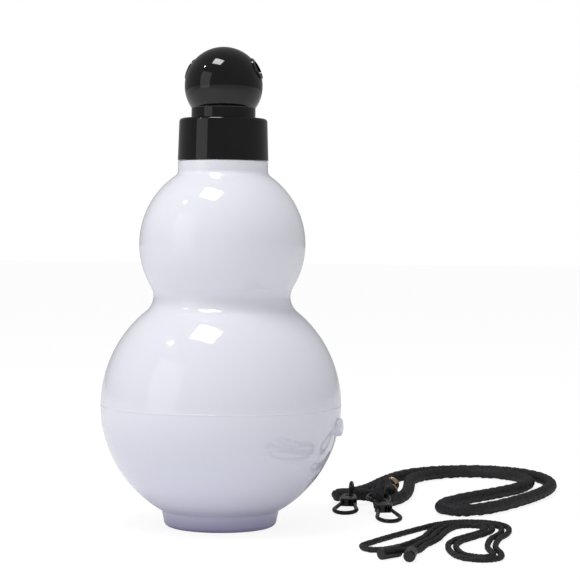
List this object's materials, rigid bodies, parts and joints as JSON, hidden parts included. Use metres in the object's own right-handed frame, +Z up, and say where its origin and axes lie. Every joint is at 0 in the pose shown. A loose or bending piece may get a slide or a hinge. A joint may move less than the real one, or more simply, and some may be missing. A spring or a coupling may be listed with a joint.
{
  "type": "gourd water bottle",
  "caption": "Double-globe bottle with a screw collar, a drinking spout under a ball lid, and a rope strap with snap hooks and a thin tie cord laid beside it.",
  "frame": {"origin": "middle of the foot's underside, on the surface that the bottle stands on", "axes": "+Z up along the bottle's axis; the side lugs and the cord hole lie along X; the strap and cord lie on the +X side, turned 13 degrees about Z"},
  "size_m": [0.2146, 0.316, 0.2391],
  "materials": {
    "shell": "glossy, translucent, blow moulded",
    "black_plastic": "glossy black, moulded",
    "seal": "soft, satin",
    "liner": "satin, moulded",
    "rope": "braided polyester",
    "gold_metal": "polished, pale gold",
    "black_metal": "glossy black plate",
    "pin_steel": "bright",
    "spring_steel": "bright wire",
    "cord": "fine braid",
    "sleeve": "satin, shrunk on"
  },
  "bodies": {
    "bottle": {"bottle_body": "shell"},
    "collar_seal": {"collar_seal": "seal"},
    "collar": {"screw_collar": "black_plastic"},
    "lid_seal": {"lid_seal": "seal"},
    "ball_lid": {"ball_shell": "black_plastic", "ball_liner": "liner"},
    "strap": {"strap_rope": "rope", "ferrule_a": "gold_metal", "ferrule_b": "gold_metal", "swivel_eye_a": "black_metal", "swivel_eye_b": "black_metal"},
    "hook_a": {"hook_frame_a": "black_metal", "gate_pin_a": "pin_steel"},
    "gate_a": {"gate_a": "black_metal", "gate_spring_a": "spring_steel"},
    "hook_b": {"hook_frame_b": "black_metal", "gate_pin_b": "pin_steel"},
    "gate_b": {"gate_b": "black_metal", "gate_spring_b": "spring_steel"},
    "cord": {"tie_cord": "cord", "cord_sleeve_a": "sleeve", "cord_sleeve_b": "sleeve"}
  },
  "joints": [
    {"name": "collar_rise", "type": "slide", "parent": "bottle", "child": "collar_seal", "axis": [0, 0, 1], "range_m": [0, 0.036]},
    {"name": "collar_turn", "type": "hinge", "parent": "collar_seal", "child": "collar", "pos_m": [0, 0, 0.19], "axis": [0, 0, 1], "range_deg": [0, 1080]},
    {"name": "lid_rise", "type": "slide", "parent": "collar", "child": "lid_seal", "axis": [0, 0, 1], "range_m": [0, 0.024]},
    {"name": "lid_turn", "type": "hinge", "parent": "lid_seal", "child": "ball_lid", "pos_m": [0, 0, 0.215], "axis": [0, 0, 1], "range_deg": [0, 1080]},
    {"name": "strap_lift", "type": "slide", "parent": "bottle", "child": "strap", "axis": [0, 0, 1], "range_m": [0, 0.12]},
    {"name": "hook_a_swivel", "type": "hinge", "parent": "strap", "child": "hook_a", "pos_m": [0.05077, 0.07667, 0.00535], "axis": [0.0861, -0.9839, -0.1566], "continuous": true},
    {"name": "gate_a_swing", "type": "hinge", "parent": "hook_a", "child": "gate_a", "pos_m": [0.05366, 0.07063, 0.00436], "axis": [-0.0136, 0.156, -0.9877], "range_deg": [0, 30], "stiffness_Nm_per_rad": 0.003, "springref_deg": -22.92},
    {"name": "hook_b_swivel", "type": "hinge", "parent": "strap", "child": "hook_b", "pos_m": [0.07212, 0.05334, 0.00641], "axis": [0.3514, -0.9155, -0.1961], "continuous": true},
    {"name": "gate_b_swing", "type": "hinge", "parent": "hook_b", "child": "gate_b", "pos_m": [0.07655, 0.04837, 0.00517], "axis": [-0.0703, 0.183, -0.9806], "range_deg": [0, 30], "stiffness_Nm_per_rad": 0.003, "springref_deg": -22.92},
    {"name": "cord_lift", "type": "slide", "parent": "bottle", "child": "cord", "axis": [0, 0, 1], "range_m": [0, 0.12]}
  ],
  "couplings": [
    {"joint": "collar_rise", "follows": "collar_turn", "m_per_rad": 0.0019099},
    {"joint": "lid_rise", "follows": "lid_turn", "m_per_rad": 0.0012732}
  ]
}
